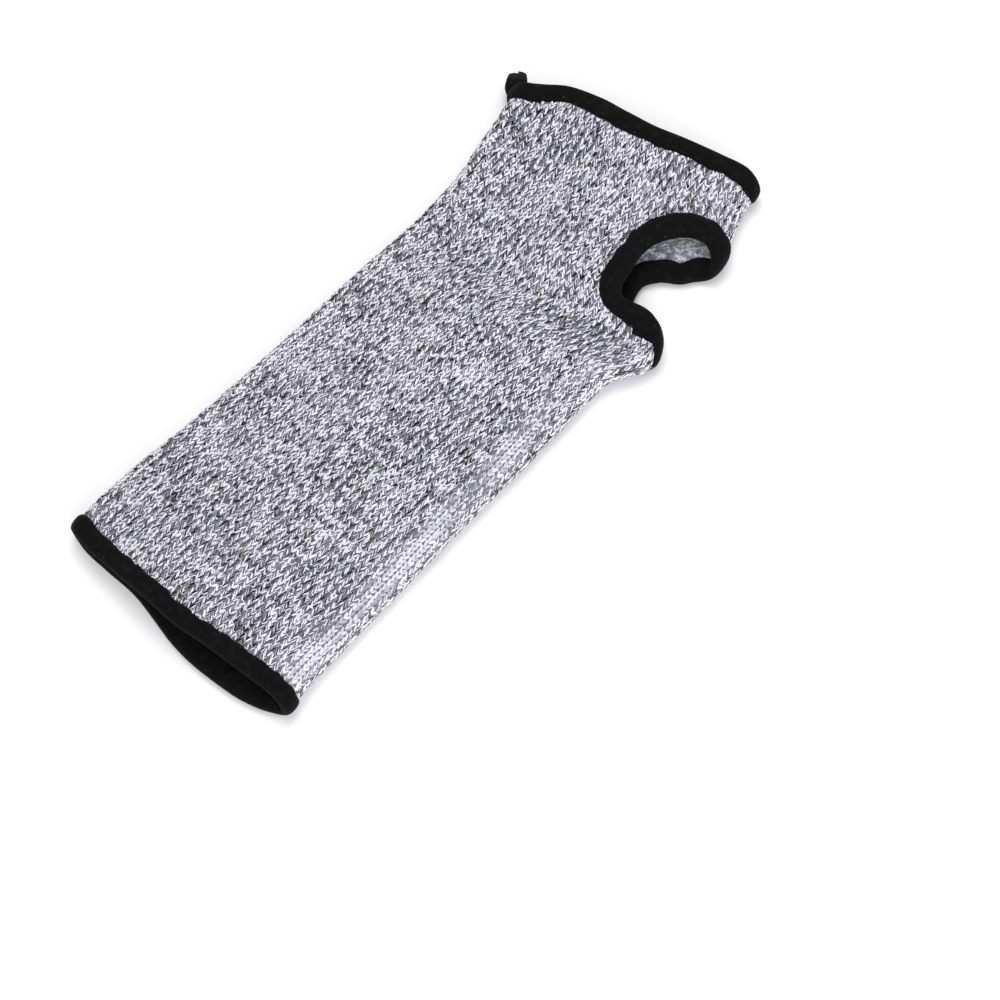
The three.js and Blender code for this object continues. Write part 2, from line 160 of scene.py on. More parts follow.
# Outline of the two cut ends, from the left fold to the thumb-side fold
EDGES = [
    {"across": 0.00, "hand_top": 0.04, "hand_bottom": 0.04, "forearm_top": 0.26, "forearm_bottom": 0.26},
    {"across": 0.08, "hand_top": 0.21, "hand_bottom": 0.22, "forearm_top": 0.44, "forearm_bottom": 0.46},
    {"across": 0.17, "hand_top": 0.40, "hand_bottom": 0.36, "forearm_top": 0.43, "forearm_bottom": 0.47},
    {"across": 0.30, "hand_top": 0.525, "hand_bottom": 0.45, "forearm_top": 0.46, "forearm_bottom": 0.44},
    {"across": 0.42, "hand_top": 0.57, "hand_bottom": 0.51, "forearm_top": 0.48, "forearm_bottom": 0.66},
    {"across": 0.54, "hand_top": 0.65, "hand_bottom": 0.61, "forearm_top": 0.45, "forearm_bottom": 0.93},
    {"across": 0.67, "hand_top": 0.80, "hand_bottom": 0.76, "forearm_top": 0.24, "forearm_bottom": 0.97},
    {"across": 0.82, "hand_top": 0.96, "hand_bottom": 0.91, "forearm_top": 0.04, "forearm_bottom": 0.84},
    {"across": 0.92, "hand_top": 1.03, "hand_bottom": 0.99, "forearm_top": -0.08, "forearm_bottom": 0.52},
    {"across": 1.00, "hand_top": 0.98, "hand_bottom": 0.98, "forearm_top": 0.05, "forearm_bottom": 0.05},
]

# Outline of the thumb hole: reach as a share of THUMB_REACH, along as a share of THUMB_LENGTH
THUMB_OUTLINE = [
    {"reach": 0.100, "along": 0.420},
    {"reach": 0.265, "along": 0.470},
    {"reach": 0.490, "along": 0.482},
    {"reach": 0.745, "along": 0.434},
    {"reach": 0.920, "along": 0.303},
    {"reach": 0.965, "along": 0.130},
    {"reach": 0.930, "along": -0.030},
    {"reach": 0.880, "along": -0.193},
    {"reach": 0.780, "along": -0.265},
    {"reach": 0.460, "along": -0.262},
    {"reach": 0.220, "along": -0.270},
    {"reach": 0.000, "along": -0.310},
    {"reach": -0.180, "along": -0.410},
    {"reach": -0.400, "along": -0.415},
    {"reach": -0.580, "along": -0.285},
    {"reach": -0.680, "along": -0.120},
    {"reach": -0.735, "along": 0.035},
    {"reach": -0.595, "along": 0.133},
    {"reach": -0.340, "along": 0.198},
    {"reach": -0.180, "along": 0.310},
]

# Shallow dents and swells of the upper layer
DENTS = [
    {"across": 0.66, "along": 0.80, "wide": 0.10, "long": 0.13, "depth": 1.00},
    {"across": 0.28, "along": 0.66, "wide": 0.16, "long": 0.10, "depth": 0.60},
    {"across": 0.55, "along": 0.42, "wide": 0.20, "long": 0.12, "depth": 0.70},
    {"across": 0.30, "along": 0.20, "wide": 0.18, "long": 0.10, "depth": 0.50},
    {"across": 0.62, "along": 0.17, "wide": 0.16, "long": 0.09, "depth": -0.50},
    {"across": 0.40, "along": 0.90, "wide": 0.16, "long": 0.08, "depth": -0.60},
]

# Half width and half thickness of the loose tail of tape, from its root to its tip
TAIL_SECTIONS = [
    {"along": 0.00, "wide": 0.70, "thick": 1.00},
    {"along": 0.35, "wide": 1.10, "thick": 1.15},
    {"along": 0.75, "wide": 1.08, "thick": 1.00},
    {"along": 1.00, "wide": 0.90, "thick": 0.70},
]

# The slanted hand edge passes the sleeve's own length at this share of the slant
SLANT_AT_MIDDLE = 0.66
FOLD_LENGTH = SLEEVE_LENGTH + HAND_SLANT * (EDGES[-1]["hand_top"] - SLANT_AT_MIDDLE)
THUMB_MIDDLE = 1 - (PALM_BAND + THUMB_LENGTH / 2) / FOLD_LENGTH
THUMB_START = THUMB_MIDDLE - THUMB_LENGTH / 2 / FOLD_LENGTH
THUMB_END = THUMB_MIDDLE + THUMB_LENGTH / 2 / FOLD_LENGTH


# Shape of the wall

def read_table(table, key, column, at):
    """Smooth curve through the rows of a table, read at one column."""
    keys = np.array([row[key] for row in table])
    values = np.array([row[column] for row in table])
    key_span = np.concatenate([keys[1:], keys[-1:]]) - np.concatenate([keys[:1], keys[:-1]])
    value_span = np.concatenate([values[1:], values[-1:]]) - np.concatenate([values[:1], values[:-1]])
    slopes = value_span / key_span
    place = np.clip(at, keys[0], keys[-1])
    row = np.clip(np.searchsorted(keys, place) - 1, 0, len(keys) - 2)
    span = keys[row + 1] - keys[row]
    t = (place - keys[row]) / span
    rest = 1 - t
    here = values[row] * rest * rest * (1 + 2 * t) + slopes[row] * span * t * rest * rest
    return here + values[row + 1] * t * t * (3 - 2 * t) - slopes[row + 1] * span * t * t * rest


def smooth(value):
    t = np.clip(value, 0, 1)
    return t * t * (3 - 2 * t)


def waves(a, b, seed, rate=1.0):
    """A smooth wandering value, mostly between -1 and 1, over two coordinates."""
    random = np.random.default_rng(seed)
    total = 0
    count = 7
    for _ in range(count):
        angle, turn, pace = random.uniform((0, 0, 0.6), (math.tau, math.tau, 1.9))
        total = total + np.sin(rate * pace * (math.cos(angle) * a + math.sin(angle) * b) + turn)
    return total / math.sqrt(count)


def flare_at(along):
    """How far the thumb-side fold is pushed out by the tape at the two ends of the thumb hole."""
    near_start = 1 - smooth(np.abs(along - THUMB_START) * FOLD_LENGTH / FLARE_RUN)
    near_end = 1 - smooth(np.abs(along - THUMB_END) * FOLD_LENGTH / FLARE_RUN)
    return WRIST_FLARE * near_start + PALM_FLARE * near_end


def widths_at(along):
    """Left fold, right fold and flat width between the folds, to the middle of the wall."""
    left = -SLEEVE_WIDTH * read_table(STATIONS, "along", "left", along)
    right = SLEEVE_WIDTH * read_table(STATIONS, "along", "right", along) + flare_at(along)
    return left, right, right - left - 2 * FOLD_RADIUS


def whole_at(along):
    """Length once round the tube."""
    return 2 * widths_at(along)[2] + 4 * FOLD_QUARTER


def near_tape_at(around, along):
    """1 on and beside the tapes and 0 away from them."""
    near_end = np.maximum(
        1 - smooth((along * FOLD_LENGTH - RAISED_BAND) / LIFT_RUN),
        1 - smooth(((1 - along) * FOLD_LENGTH - RAISED_BAND) / LIFT_RUN),
    )
    hole = np.hypot(around / THUMB_REACH, 2 * (along - THUMB_MIDDLE) * FOLD_LENGTH / THUMB_LENGTH)
    raised_hole = 1 + THUMB_TAPE_REACH / THUMB_REACH
    near_hole = 1 - smooth((hole - raised_hole) * THUMB_REACH / LIFT_RUN)
    return np.maximum(near_end, near_hole)


def dent_at(across, along):
    depth = 0
    for dent in DENTS:
        away = np.hypot((across - dent["across"]) / dent["wide"], (along - dent["along"]) / dent["long"])
        depth = depth + DENT * dent["depth"] * (1 - smooth(away))
    return depth


def wall_at(around, along):
    """Middle of the knit wall, round from the crest of the thumb-side fold over the upper layer."""
    around, along = np.broadcast_arrays(around, along)
    left, right, flat = widths_at(along)
    whole = 2 * flat + 4 * FOLD_QUARTER
    distance = np.mod(around, whole)
    signed = np.where(distance > whole / 2, distance - whole, distance)
    near_tape = near_tape_at(signed, along)
    base = KNIT / 2 + EDGE_RISE * near_tape
    centre = base + FOLD_RADIUS
    zones = [
        distance <= FOLD_QUARTER,
        distance <= FOLD_QUARTER + flat,
        distance <= 3 * FOLD_QUARTER + flat,
        distance <= 3 * FOLD_QUARTER + 2 * flat,
    ]
    right_turn = distance / FOLD_RADIUS
    share = np.clip((distance - FOLD_QUARTER) / flat, 0, 1)
    left_turn = (distance - FOLD_QUARTER - flat) / FOLD_RADIUS
    back_turn = (whole - distance) / FOLD_RADIUS
    arch = np.sin(math.pi * share) ** 2
    crown = CROWN * read_table(STATIONS, "along", "crown", along)
    ripple = RIPPLE * waves(around, along * FOLD_LENGTH, 5, 1 / RIPPLE_LENGTH) * (1 - near_tape)
    top = centre + FOLD_RADIUS + (crown - dent_at(1 - share, along) + ripple) * arch
    x = np.select(zones, [
        right - FOLD_RADIUS + FOLD_RADIUS * np.cos(right_turn),
        right - FOLD_RADIUS - share * flat,
        left + FOLD_RADIUS - FOLD_RADIUS * np.sin(left_turn),
        left + FOLD_RADIUS + (distance - 3 * FOLD_QUARTER - flat),
    ], right - FOLD_RADIUS + FOLD_RADIUS * np.cos(back_turn))
    z = np.select(zones, [
        centre + FOLD_RADIUS * np.sin(right_turn),
        top,
        centre + FOLD_RADIUS * np.cos(left_turn),
        base,
    ], centre - FOLD_RADIUS * np.sin(back_turn))
    across = (x - left) / (right - left)
    upper = smooth((z - base) / (2 * FOLD_RADIUS))
    hand_top = read_table(EDGES, "across", "hand_top", across)
    hand_bottom = read_table(EDGES, "across", "hand_bottom", across)
    forearm_top = read_table(EDGES, "across", "forearm_top", across)
    forearm_bottom = read_table(EDGES, "across", "forearm_bottom", across)
    hand = hand_bottom + (hand_top - hand_bottom) * upper
    forearm_y = -FOREARM_WAVE * (forearm_bottom + (forearm_top - forearm_bottom) * upper)
    hand_y = SLEEVE_LENGTH + HAND_SLANT * (hand - SLANT_AT_MIDDLE)
    return np.stack([x, forearm_y + (hand_y - forearm_y) * along, z], axis=-1)


def unit(vectors):
    return vectors / np.linalg.norm(vectors, axis=-1, keepdims=True)


def slopes_at(around, along):
    """Directions of the wall at a point: round it, along it and out of it."""
    step = 0.01 * MM
    along_step = step / SLEEVE_LENGTH
    round_span = wall_at(around + step, along) - wall_at(around - step, along)
    length_span = wall_at(around, along + along_step) - wall_at(around, along - along_step)
    round_way = round_span / (2 * step)
    length_way = length_span / (2 * along_step)
    return round_way, length_way, unit(np.cross(length_way, round_way))


def off_wall(around, along, height):
    around, along, height = np.broadcast_arrays(around, along, height)
    normal = slopes_at(around, along)[2]
    return wall_at(around, along) + normal * height[..., None]


def frame_offset():
    """From the wall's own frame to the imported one, by the lowest corner of the knit tube."""
    shares, along = np.meshgrid(np.linspace(0, 1, 400), np.linspace(0, 1, 200))
    points = off_wall(shares * whole_at(along), along, KNIT / 2).reshape(-1, 3)
    return np.array(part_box("sleeve_body")[0]) - points.min(axis=0)


OFFSET = frame_offset()


# Meshes

def new_piece(name, points, faces, material, uv):
    """A smooth mesh that rides on the sleeve, pressed flat where it meets the floor. uv is its bake map."""
    placed = points + OFFSET
    placed[:, 2] = np.maximum(placed[:, 2], 0)
    mesh = bpy.data.meshes.new(name)
    corners = faces.shape[1]
    mesh.vertices.add(len(points))
    mesh.vertices.foreach_set("co", placed.astype(np.float32).ravel())
    mesh.loops.add(faces.size)
    mesh.loops.foreach_set("vertex_index", faces.astype(np.int32).ravel())
    mesh.polygons.add(len(faces))
    mesh.polygons.foreach_set("loop_start", (np.arange(len(faces)) * corners).astype(np.int32))
    mesh.polygons.foreach_set("use_smooth", np.ones(len(faces), bool))
    mesh.update(calc_edges=True)
    layer = mesh.uv_layers.new(name="OFBake")
    layer.data.foreach_set("uv", uv[faces.ravel()].astype(np.float32).ravel())
    mesh.materials.append(material)
    piece = bpy.data.objects.new(name, mesh)
    bpy.context.scene.collection.objects.link(piece)
    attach(piece, "root")
    return piece


def add_attribute(piece, name, *columns):
    """Up to three values for each point, which the material reads."""
    values = np.zeros((len(piece.data.vertices), 3), np.float32)
    for place, column in enumerate(columns):
        values[:, place] = np.ravel(column)
    attribute = piece.data.attributes.new(name, "FLOAT_VECTOR", "POINT")
    attribute.data.foreach_set("vector", values.ravel())


def grid_faces(rows, columns, closed_rows, closed_columns):
    """Quads of a grid of points numbered row by row."""
    row = np.arange(rows if closed_rows else rows - 1)[:, None]
    column = np.arange(columns if closed_columns else columns - 1)[None, :]
    next_row = (row + 1) % rows
    next_column = (column + 1) % columns
    quads = [
        row * columns + column,
        row * columns + next_column,
        next_row * columns + next_column,
        next_row * columns + column,
    ]
    return np.stack(np.broadcast_arrays(*quads), axis=-1).reshape(-1, 4)


# Materials

LIGHT_YARN = (0.83, 0.815, 0.92, 1)
# Painted shade for the sides of a stitch leg and the grooves between its plies
SHADED_YARN = (0.50, 0.48, 0.57, 1)
DARK_YARN = (0.002, 0.002, 0.004, 1)
# Painted shade for the ground seen between the stitch legs
GROUND_PAINTED_SHADE = (0.16, 0.16, 0.19, 1)
PURL_PALE = (0.74, 0.74, 0.84, 1)
PURL_GREY = (0.26, 0.27, 0.33, 1)
PURL_FLECK = (0.07, 0.07, 0.10, 1)
TAPE_BLACK = (0.0018, 0.0018, 0.0022, 1)
TAPE_WORN = (0.0060, 0.0060, 0.0068, 1)
TAPE_END = (0.020, 0.020, 0.021, 1)
LINT = (0.25, 0.25, 0.28, 1)

# Noises of the materials, finer with a larger scale
NOISES = {
    "yarn_patch": {"scale": 70, "wide": 1.0, "detail": 1},
    "purl_patch": {"scale": 420, "wide": 1.0, "detail": 2},
    "purl_fleck": {"scale": 1200, "wide": 0.8, "detail": 4},
    "tape_weave": {"scale": 2600, "wide": 1.0, "detail": 2},
    "tape_worn": {"scale": 420, "wide": 1.0, "detail": 3},
    "tape_lint": {"scale": 1500, "wide": 1.0, "detail": 1},
    "dark_fibre": {"scale": 700, "wide": 1.0, "detail": 0},
}

# The part of a noise from low to high is carried to the values from least to most
LEVELS = {
    "yarn_patch": {"low": 0.36, "high": 0.64, "least": 0.80, "most": 1.10},
    "purl_patch": {"low": 0.38, "high": 0.62, "least": 0.0, "most": 1.0},
    "purl_fleck": {"low": 0.47, "high": 0.66, "least": 0.0, "most": 0.75},
    "tape_worn": {"low": 0.48, "high": 0.72, "least": 0.0, "most": 0.8},
    "tape_lint": {"low": 0.775, "high": 0.80, "least": 0.0, "most": 0.5},
    "dark_fibre": {"low": 0.56, "high": 0.60, "least": 0.0, "most": 0.85},
}

# Dark strand of a leg. Across the leg runs from -1 to 1 and along it from 0 to 1
STRAND_ASIDE = 0.55
STRAND_SLANT = 0.4
STRAND_WIDTH = 0.90
STRAND_LEAST_WIDTH = 0.06
STRAND_MIDDLES = (0.25, 0.75)
STRAND_HALF_LENGTHS = (0.42, 0.64)
STRAND_DEPTHS = (0.94, 1.00)
LEAN_LEAST = 0.70
LEAN_EXTRA = 0.45
# Share of the dark strand that the painted highlight beside the thumb-side fold takes away
FOLD_HIGHLIGHT_PALER = 0.72

# Turns of the ply, in radians over the half width and over the length of a leg
PLY_ACROSS = 9.0
PLY_ALONG = 7.0


class Shader:
    """A node material with short names for the nodes that it needs."""

    def __init__(self, name, rough, sheen):
        self.material = bpy.data.materials.new(name)
        self.material.use_nodes = True
        self.nodes = self.material.node_tree.nodes
        self.links = self.material.node_tree.links
        self.surface = self.nodes["Principled BSDF"]
        self.surface.inputs["Roughness"].default_value = rough
        self.surface.inputs["Sheen Weight"].default_value = sheen
        self.surface.inputs["Sheen Roughness"].default_value = 0.5
        self.surface.inputs["Specular IOR Level"].default_value = 0.12

    def feed(self, socket, value):
        """Links a socket to another one, or sets it to a number or colour."""
        if isinstance(value, bpy.types.NodeSocket):
            self.links.new(value, socket)
        else:
            socket.default_value = value

    def math(self, operation, first, second=0.0, third=0.0):
        node = self.nodes.new("ShaderNodeMath")
        node.operation = operation
        for socket, value in zip(node.inputs, (first, second, third)):
            self.feed(socket, value)
        return node.outputs[0]

    def spread(self, value, low, high, to_low=0.0, to_high=1.0):
        """A value carried smoothly from one range to another."""
        node = self.nodes.new("ShaderNodeMapRange")
        node.interpolation_type = "SMOOTHSTEP"
        for socket, number in zip(node.inputs, (value, low, high, to_low, to_high)):
            self.feed(socket, number)
        return node.outputs[0]

    def between(self, share, low, high):
        """The value that lies at a share of the way from low to high."""
        return self.math("MULTIPLY_ADD", share, high - low, low)

    def attribute(self, name):
        node = self.nodes.new("ShaderNodeAttribute")
        node.attribute_name = name
        parts = self.nodes.new("ShaderNodeSeparateXYZ")
        self.links.new(node.outputs["Vector"], parts.inputs[0])
        return parts.outputs

    def randoms(self, seed_socket, offset):
        """Three random numbers from 0 to 1 for each value of a socket."""
        node = self.nodes.new("ShaderNodeTexWhiteNoise")
        node.noise_dimensions = "1D"
        self.links.new(self.math("MULTIPLY_ADD", seed_socket, 97.0, offset), node.inputs["W"])
        parts = self.nodes.new("ShaderNodeSeparateXYZ")
        self.links.new(node.outputs["Color"], parts.inputs[0])
        return parts.outputs

    def noise(self, name):
        """Smooth noise of the object's own place, from about 0.3 to 0.7, by its row in NOISES."""
        place = self.nodes.new("ShaderNodeTexCoord").outputs["Object"]
        mapping = self.nodes.new("ShaderNodeMapping")
        mapping.inputs["Scale"].default_value = (NOISES[name]["wide"], 1, 1)
        self.links.new(place, mapping.inputs["Vector"])
        node = self.nodes.new("ShaderNodeTexNoise")
        node.inputs["Scale"].default_value = NOISES[name]["scale"]
        node.inputs["Detail"].default_value = NOISES[name]["detail"]
        self.links.new(mapping.outputs[0], node.inputs["Vector"])
        return node.outputs["Fac"]

    def level(self, name):
        """A noise carried to the values of its row in LEVELS."""
        row = LEVELS[name]
        return self.spread(self.noise(name), row["low"], row["high"], row["least"], row["most"])

    def mix_colour(self, share, first, second):
        """Mixes two colours by a share. The colour sockets of the node come last."""
        node = self.nodes.new("ShaderNodeMix")
        node.data_type = "RGBA"
        colours = [s for s in node.inputs if s.type == "RGBA"]
        self.feed(node.inputs[0], share)
        self.feed(colours[0], first)
        self.feed(colours[1], second)
        return [s for s in node.outputs if s.type == "RGBA"][0]

    def bump(self, height, distance, strength=1.0):
        node = self.nodes.new("ShaderNodeBump")
        node.inputs["Distance"].default_value = distance
        node.inputs["Strength"].default_value = strength
        self.links.new(height, node.inputs["Height"])
        self.links.new(node.outputs[0], self.surface.inputs["Normal"])

    def colour(self, value):
        self.feed(self.surface.inputs["Base Color"], value)


def stitch_material():
    """Light yarn with a dark strand laid in it that comes and goes from leg to leg."""
    look = Shader("marled_knit", rough=0.9, sheen=0.02)
    across, along, seed = look.attribute("strand")
    painted_highlight = look.attribute("painted_highlight")[0]
    aside, width, length = look.randoms(seed, offset=0.37)
    middle, _, depth = look.randoms(seed, offset=41.7)
    # Where the strand lies across the leg, and how wide it is there. The legs with seeds above 1
    # lean to the thumb side on the upper layer, and show more of it.
    centre = look.math("ADD", look.between(aside, -STRAND_ASIDE, STRAND_ASIDE), -STRAND_SLANT / 2)
    centre = look.math("MULTIPLY_ADD", along, STRAND_SLANT, centre)
    leaning = look.math("MULTIPLY_ADD", look.math("GREATER_THAN", seed, 1.0), LEAN_EXTRA, LEAN_LEAST)
    share = look.math("MULTIPLY", width, look.math("MULTIPLY", look.level("yarn_patch"), leaning))
    half_width = look.math("MULTIPLY_ADD", share, STRAND_WIDTH, STRAND_LEAST_WIDTH)
    off_centre = look.math("ABSOLUTE", look.math("SUBTRACT", across, centre))
    band = look.spread(look.math("DIVIDE", off_centre, half_width), 0.9, 1.1, to_low=1.0, to_high=0.0)
    # How far it reaches along the leg
    half_length = look.between(length, *STRAND_HALF_LENGTHS)
    off_middle = look.math("SUBTRACT", along, look.between(middle, *STRAND_MIDDLES))
    reach = look.math("DIVIDE", look.math("ABSOLUTE", off_middle), half_length)
    stretch = look.spread(reach, 0.85, 1.1, to_low=1.0, to_high=0.0)
    # The dark strand fades in the painted highlight band beside the thumb-side fold
    pale = look.math("MULTIPLY_ADD", painted_highlight, -FOLD_HIGHLIGHT_PALER, 1.0)
    dark = look.math("MULTIPLY", look.math("MULTIPLY", band, stretch), pale)
    dark = look.math("MULTIPLY", dark, look.between(depth, *STRAND_DEPTHS))
    # The light yarn has painted shade at the sides of the leg and in the grooves between its plies
    ply = look.math("MULTIPLY_ADD", across, PLY_ACROSS, look.math("MULTIPLY", along, PLY_ALONG))
    ply = look.math("SINE", ply)
    side = look.spread(look.math("ABSOLUTE", across), 0.6, 1.0, to_low=0.0, to_high=0.30)
    ply_groove_shade = look.spread(ply, -1.0, -0.4, to_low=0.10, to_high=0.0)
    light = look.mix_colour(look.math("MAXIMUM", side, ply_groove_shade), LIGHT_YARN, SHADED_YARN)
    look.colour(look.mix_colour(dark, light, DARK_YARN))
    look.bump(ply, distance=0.04 * MM, strength=0.5)
    return look.material


def base_material():
    """Purl side and ground of the knit: low rows of loops, mottled by the strand behind them. On the
    outside the ground is painted shade, seen between the stitch legs.
    """
    look = Shader("knit_ground", rough=0.95, sheen=0.02)
    wale, course, outside = look.attribute("lattice")
    swing = look.math("SINE", look.math("MULTIPLY", wale, math.tau))
    arch = look.math("MULTIPLY_ADD", swing, 0.9, look.math("MULTIPLY", course, math.pi))
    loops = look.math("ABSOLUTE", look.math("SINE", arch))
    light = look.mix_colour(look.level("purl_patch"), PURL_GREY, PURL_PALE)
    inside = look.mix_colour(look.level("purl_fleck"), light, PURL_FLECK)
    # The outer skin shows only between the stitch legs and is coloured as painted shade there
    look.colour(look.mix_colour(outside, inside, GROUND_PAINTED_SHADE))
    low_loops = look.math("MULTIPLY", loops, 0.5)
    height = look.math("MULTIPLY_ADD", look.noise("purl_fleck"), 2.0, low_loops)
    look.bump(height, distance=0.3 * MM, strength=1.0)
    return look.material


def tape_material():
    """Matt black knitted tape with fine cross ribs and a few specks of lint."""
    look = Shader("black_tape", rough=0.92, sheen=0.02)
    distance, tail, _ = look.attribute("tape")
    ribs = look.math("SINE", look.math("MULTIPLY", distance, math.tau / RIB_SPACING))
    cloth = look.mix_colour(look.level("tape_worn"), TAPE_BLACK, TAPE_WORN)
    tip = look.spread(tail, 0.5, 1.1, to_low=0.0, to_high=0.8)
    cloth = look.mix_colour(tip, cloth, TAPE_END)
    look.colour(look.mix_colour(look.level("tape_lint"), cloth, LINT))
    low_ribs = look.math("MULTIPLY", ribs, 0.35)
    height = look.math("MULTIPLY_ADD", look.noise("tape_weave"), 1.6, low_ribs)
    look.bump(height, distance=0.12 * MM, strength=0.9)
    return look.material


def fuzz_material():
    """Loose ends of the light and dark strands."""
    look = Shader("yarn_fuzz", rough=0.9, sheen=0.0)
    look.colour(look.mix_colour(look.level("dark_fibre"), LIGHT_YARN, DARK_YARN))
    return look.material


KNIT_LOOK = stitch_material()
FUZZ_LOOK = fuzz_material()
GROUND_LOOK = base_material()
TAPE_LOOK = tape_material()


# Paths of the knit edges

def hole_outline(steps):
    """Thumb hole outline as distances round and shares along the tube."""
    around = np.array([row["reach"] for row in THUMB_OUTLINE]) * THUMB_REACH
    along = THUMB_MIDDLE + np.array([row["along"] for row in THUMB_OUTLINE]) * THUMB_LENGTH / FOLD_LENGTH
    t = np.arange(steps)[:, None] / steps

    def curve(here):
        before, after, beyond = np.roll(here, 1), np.roll(here, -1), np.roll(here, -2)
        bend = 2 * before - 5 * here + 4 * after - beyond + t * (3 * (here - after) + beyond - before)
        return (here + 0.5 * t * (after - before + t * bend)).T.ravel()

    return curve(around), curve(along)


def even_path(around, along, spacing, turn=0.0):
    """A closed path on the wall with its points at even distances. turn is its way once round the tube."""
    points = wall_at(around, along)
    gaps = np.linalg.norm(np.roll(points, -1, axis=0) - points, axis=1)
    distance = np.concatenate([[0], np.cumsum(gaps)])
    count = int(distance[-1] / spacing)
    places = np.arange(count) * distance[-1] / count
    closed_around = np.append(around, around[0] + turn)
    closed_along = np.append(along, along[0])
    return np.interp(places, distance, closed_around), np.interp(places, distance, closed_along), places


def inside_hole(around, along, margin):
    """True where a point lies in the thumb hole, widened by a margin."""
    edge_around, edge_along = hole_outline(steps=4)
    middle = [edge_around.mean(), edge_along.mean()]
    away = np.hypot(edge_around - middle[0], (edge_along - middle[1]) * FOLD_LENGTH)
    wider = 1 + margin / away
    edge_around = middle[0] + (edge_around - middle[0]) * wider
    edge_along = middle[1] + (edge_along - middle[1]) * wider
    found = np.zeros(np.shape(around), bool)
    tiny = 1e-12
    last = len(edge_around) - 1
    for i in range(len(edge_around)):
        crosses = (edge_along[i] > along) != (edge_along[last] > along)
        rise = edge_along[last] - edge_along[i]
        rise = rise if abs(rise) > tiny else tiny
        x = edge_around[i] + (along - edge_along[i]) * (edge_around[last] - edge_around[i]) / rise
        found ^= crosses & (around < x)
        last = i
    return found


def signed_around(share, along):
    whole = whole_at(along)
    return (np.mod(share + 0.5, 1) - 0.5) * whole


# Knit tube

def knit_base():
    """The closed wall of the tube under its stitches, open at both ends and at the thumb hole."""
    columns = 2 * WALES
    rows = 2 * COURSES + 1
    half_map = 0.5
    share, along = np.meshgrid(np.arange(columns) / columns, np.linspace(0, 1, rows))
    around = signed_around(share, along)
    outer = off_wall(around, along, BASE_OUTSIDE).reshape(-1, 3)
    inner = off_wall(around, along, BASE_INSIDE).reshape(-1, 3)
    count = len(outer)
    quads = grid_faces(rows, columns, False, True)
    hole = inside_hole(around.ravel(), along.ravel(), 0.0)
    kept = ~hole[quads].any(axis=1)
    quads = quads[kept]
    edges = quads[:, [0, 1, 1, 2, 2, 3, 3, 0]].reshape(-1, 2)
    whole_edges = {tuple(edge) for edge in edges.tolist()}
    rim = np.array([edge for edge in whole_edges if (edge[1], edge[0]) not in whole_edges])
    rim = rim[np.lexsort((rim[:, 1], rim[:, 0]))]
    walls = np.stack([rim[:, 1], rim[:, 0], rim[:, 0] + count, rim[:, 1] + count], axis=-1)
    faces = np.concatenate([quads, quads[:, ::-1] + count, walls])
    used = np.unique(faces)
    renumber = np.full(2 * count, -1)
    renumber[used] = np.arange(len(used))
    points = np.concatenate([outer, inner])[used]
    u = np.tile(share.ravel() * WALES, 2)[used]
    v = np.tile(along.ravel() * COURSES, 2)[used]
    outside = (used < count).astype(float)
    shift = np.where(outside > 0, 0.0, half_map)
    uv = np.stack([u / WALES * half_map + shift, v / COURSES], axis=-1)
    piece = new_piece("knit_ground", points, renumber[faces], GROUND_LOOK, uv)
    add_attribute(piece, "lattice", u, v, outside)
    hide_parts("sleeve_body")
    return piece


# Points of one stitch leg: places along and across it, and shares of its full width and height
LEG_STATIONS = [
    {"along": 0.16, "wide": 0.80, "high": 0.86},
    {"along": 0.46, "wide": 1.00, "high": 1.00},
    {"along": 0.80, "wide": 0.82, "high": 0.72},
]
LEG_COLUMNS = [
    {"across": -1.0, "high": 0.0},
    {"across": -0.42, "high": 0.9},
    {"across": 0.42, "high": 0.9},
    {"across": 1.0, "high": 0.0},
]
LEG_START_HIGH = 0.1
LEG_END_HIGH = 0.05

# Ends of a leg from the middle of its stitch: outer and inner round the tube as shares of the
# pitch, low and high along it as shares of the rise
LEG_ENDS = [
    {"end": "outer", "middle": 0.47, "spread": 0.05},
    {"end": "inner", "middle": 0.07, "spread": 0.05},
    {"end": "low", "middle": -0.55, "spread": 0.10},
    {"end": "high", "middle": 0.70, "spread": 0.10},
]

# Slow wander of the stitches, as shares of the pitch and of the rise
DRIFT = {"size": 0.16, "per_wale": 0.40, "per_course": 0.22, "seed": 11}
SLIP = {"size": 0.20, "per_wale": 0.30, "per_course": 0.15, "seed": 12}


def leg_template():
    """Points as (along, across, wide, high) rows, and triangles, of one leg."""
    points = [(0.0, 0.0, 1.0, LEG_START_HIGH)]
    for station in LEG_STATIONS:
        for column in LEG_COLUMNS:
            high = station["high"] * column["high"]
            points.append((station["along"], column["across"], station["wide"], high))
    points.append((1.0, 0.0, 1.0, LEG_END_HIGH))
    width = len(LEG_COLUMNS)
    tip = len(points) - 1
    triangles = []
    for j in range(width - 1):
        triangles.append((0, 1 + j + 1, 1 + j))
        for i in range(len(LEG_STATIONS) - 1):
            a = 1 + i * width + j
            triangles.append((a, a + 1, a + width + 1))
            triangles.append((a, a + width + 1, a + width))
        a = 1 + (len(LEG_STATIONS) - 1) * width + j
        triangles.append((a, a + 1, tip))
    return np.array(points), np.array(triangles)


def leaf_points(start, end, half_width, bend, template):
    """Places in the plane of many leaves, in metres, from their start and end points."""
    along, across, wide = template[:, 0], template[:, 1], template[:, 2]
    way = end - start
    length = np.linalg.norm(way, axis=1, keepdims=True)
    normal = np.stack([way[:, 1], -way[:, 0]], axis=-1) / length
    side = across * wide * half_width[:, None] + bend[:, None] * np.sin(math.pi * along)
    return start[:, None] + way[:, None] * along[:, None] + normal[:, None] * side[..., None]


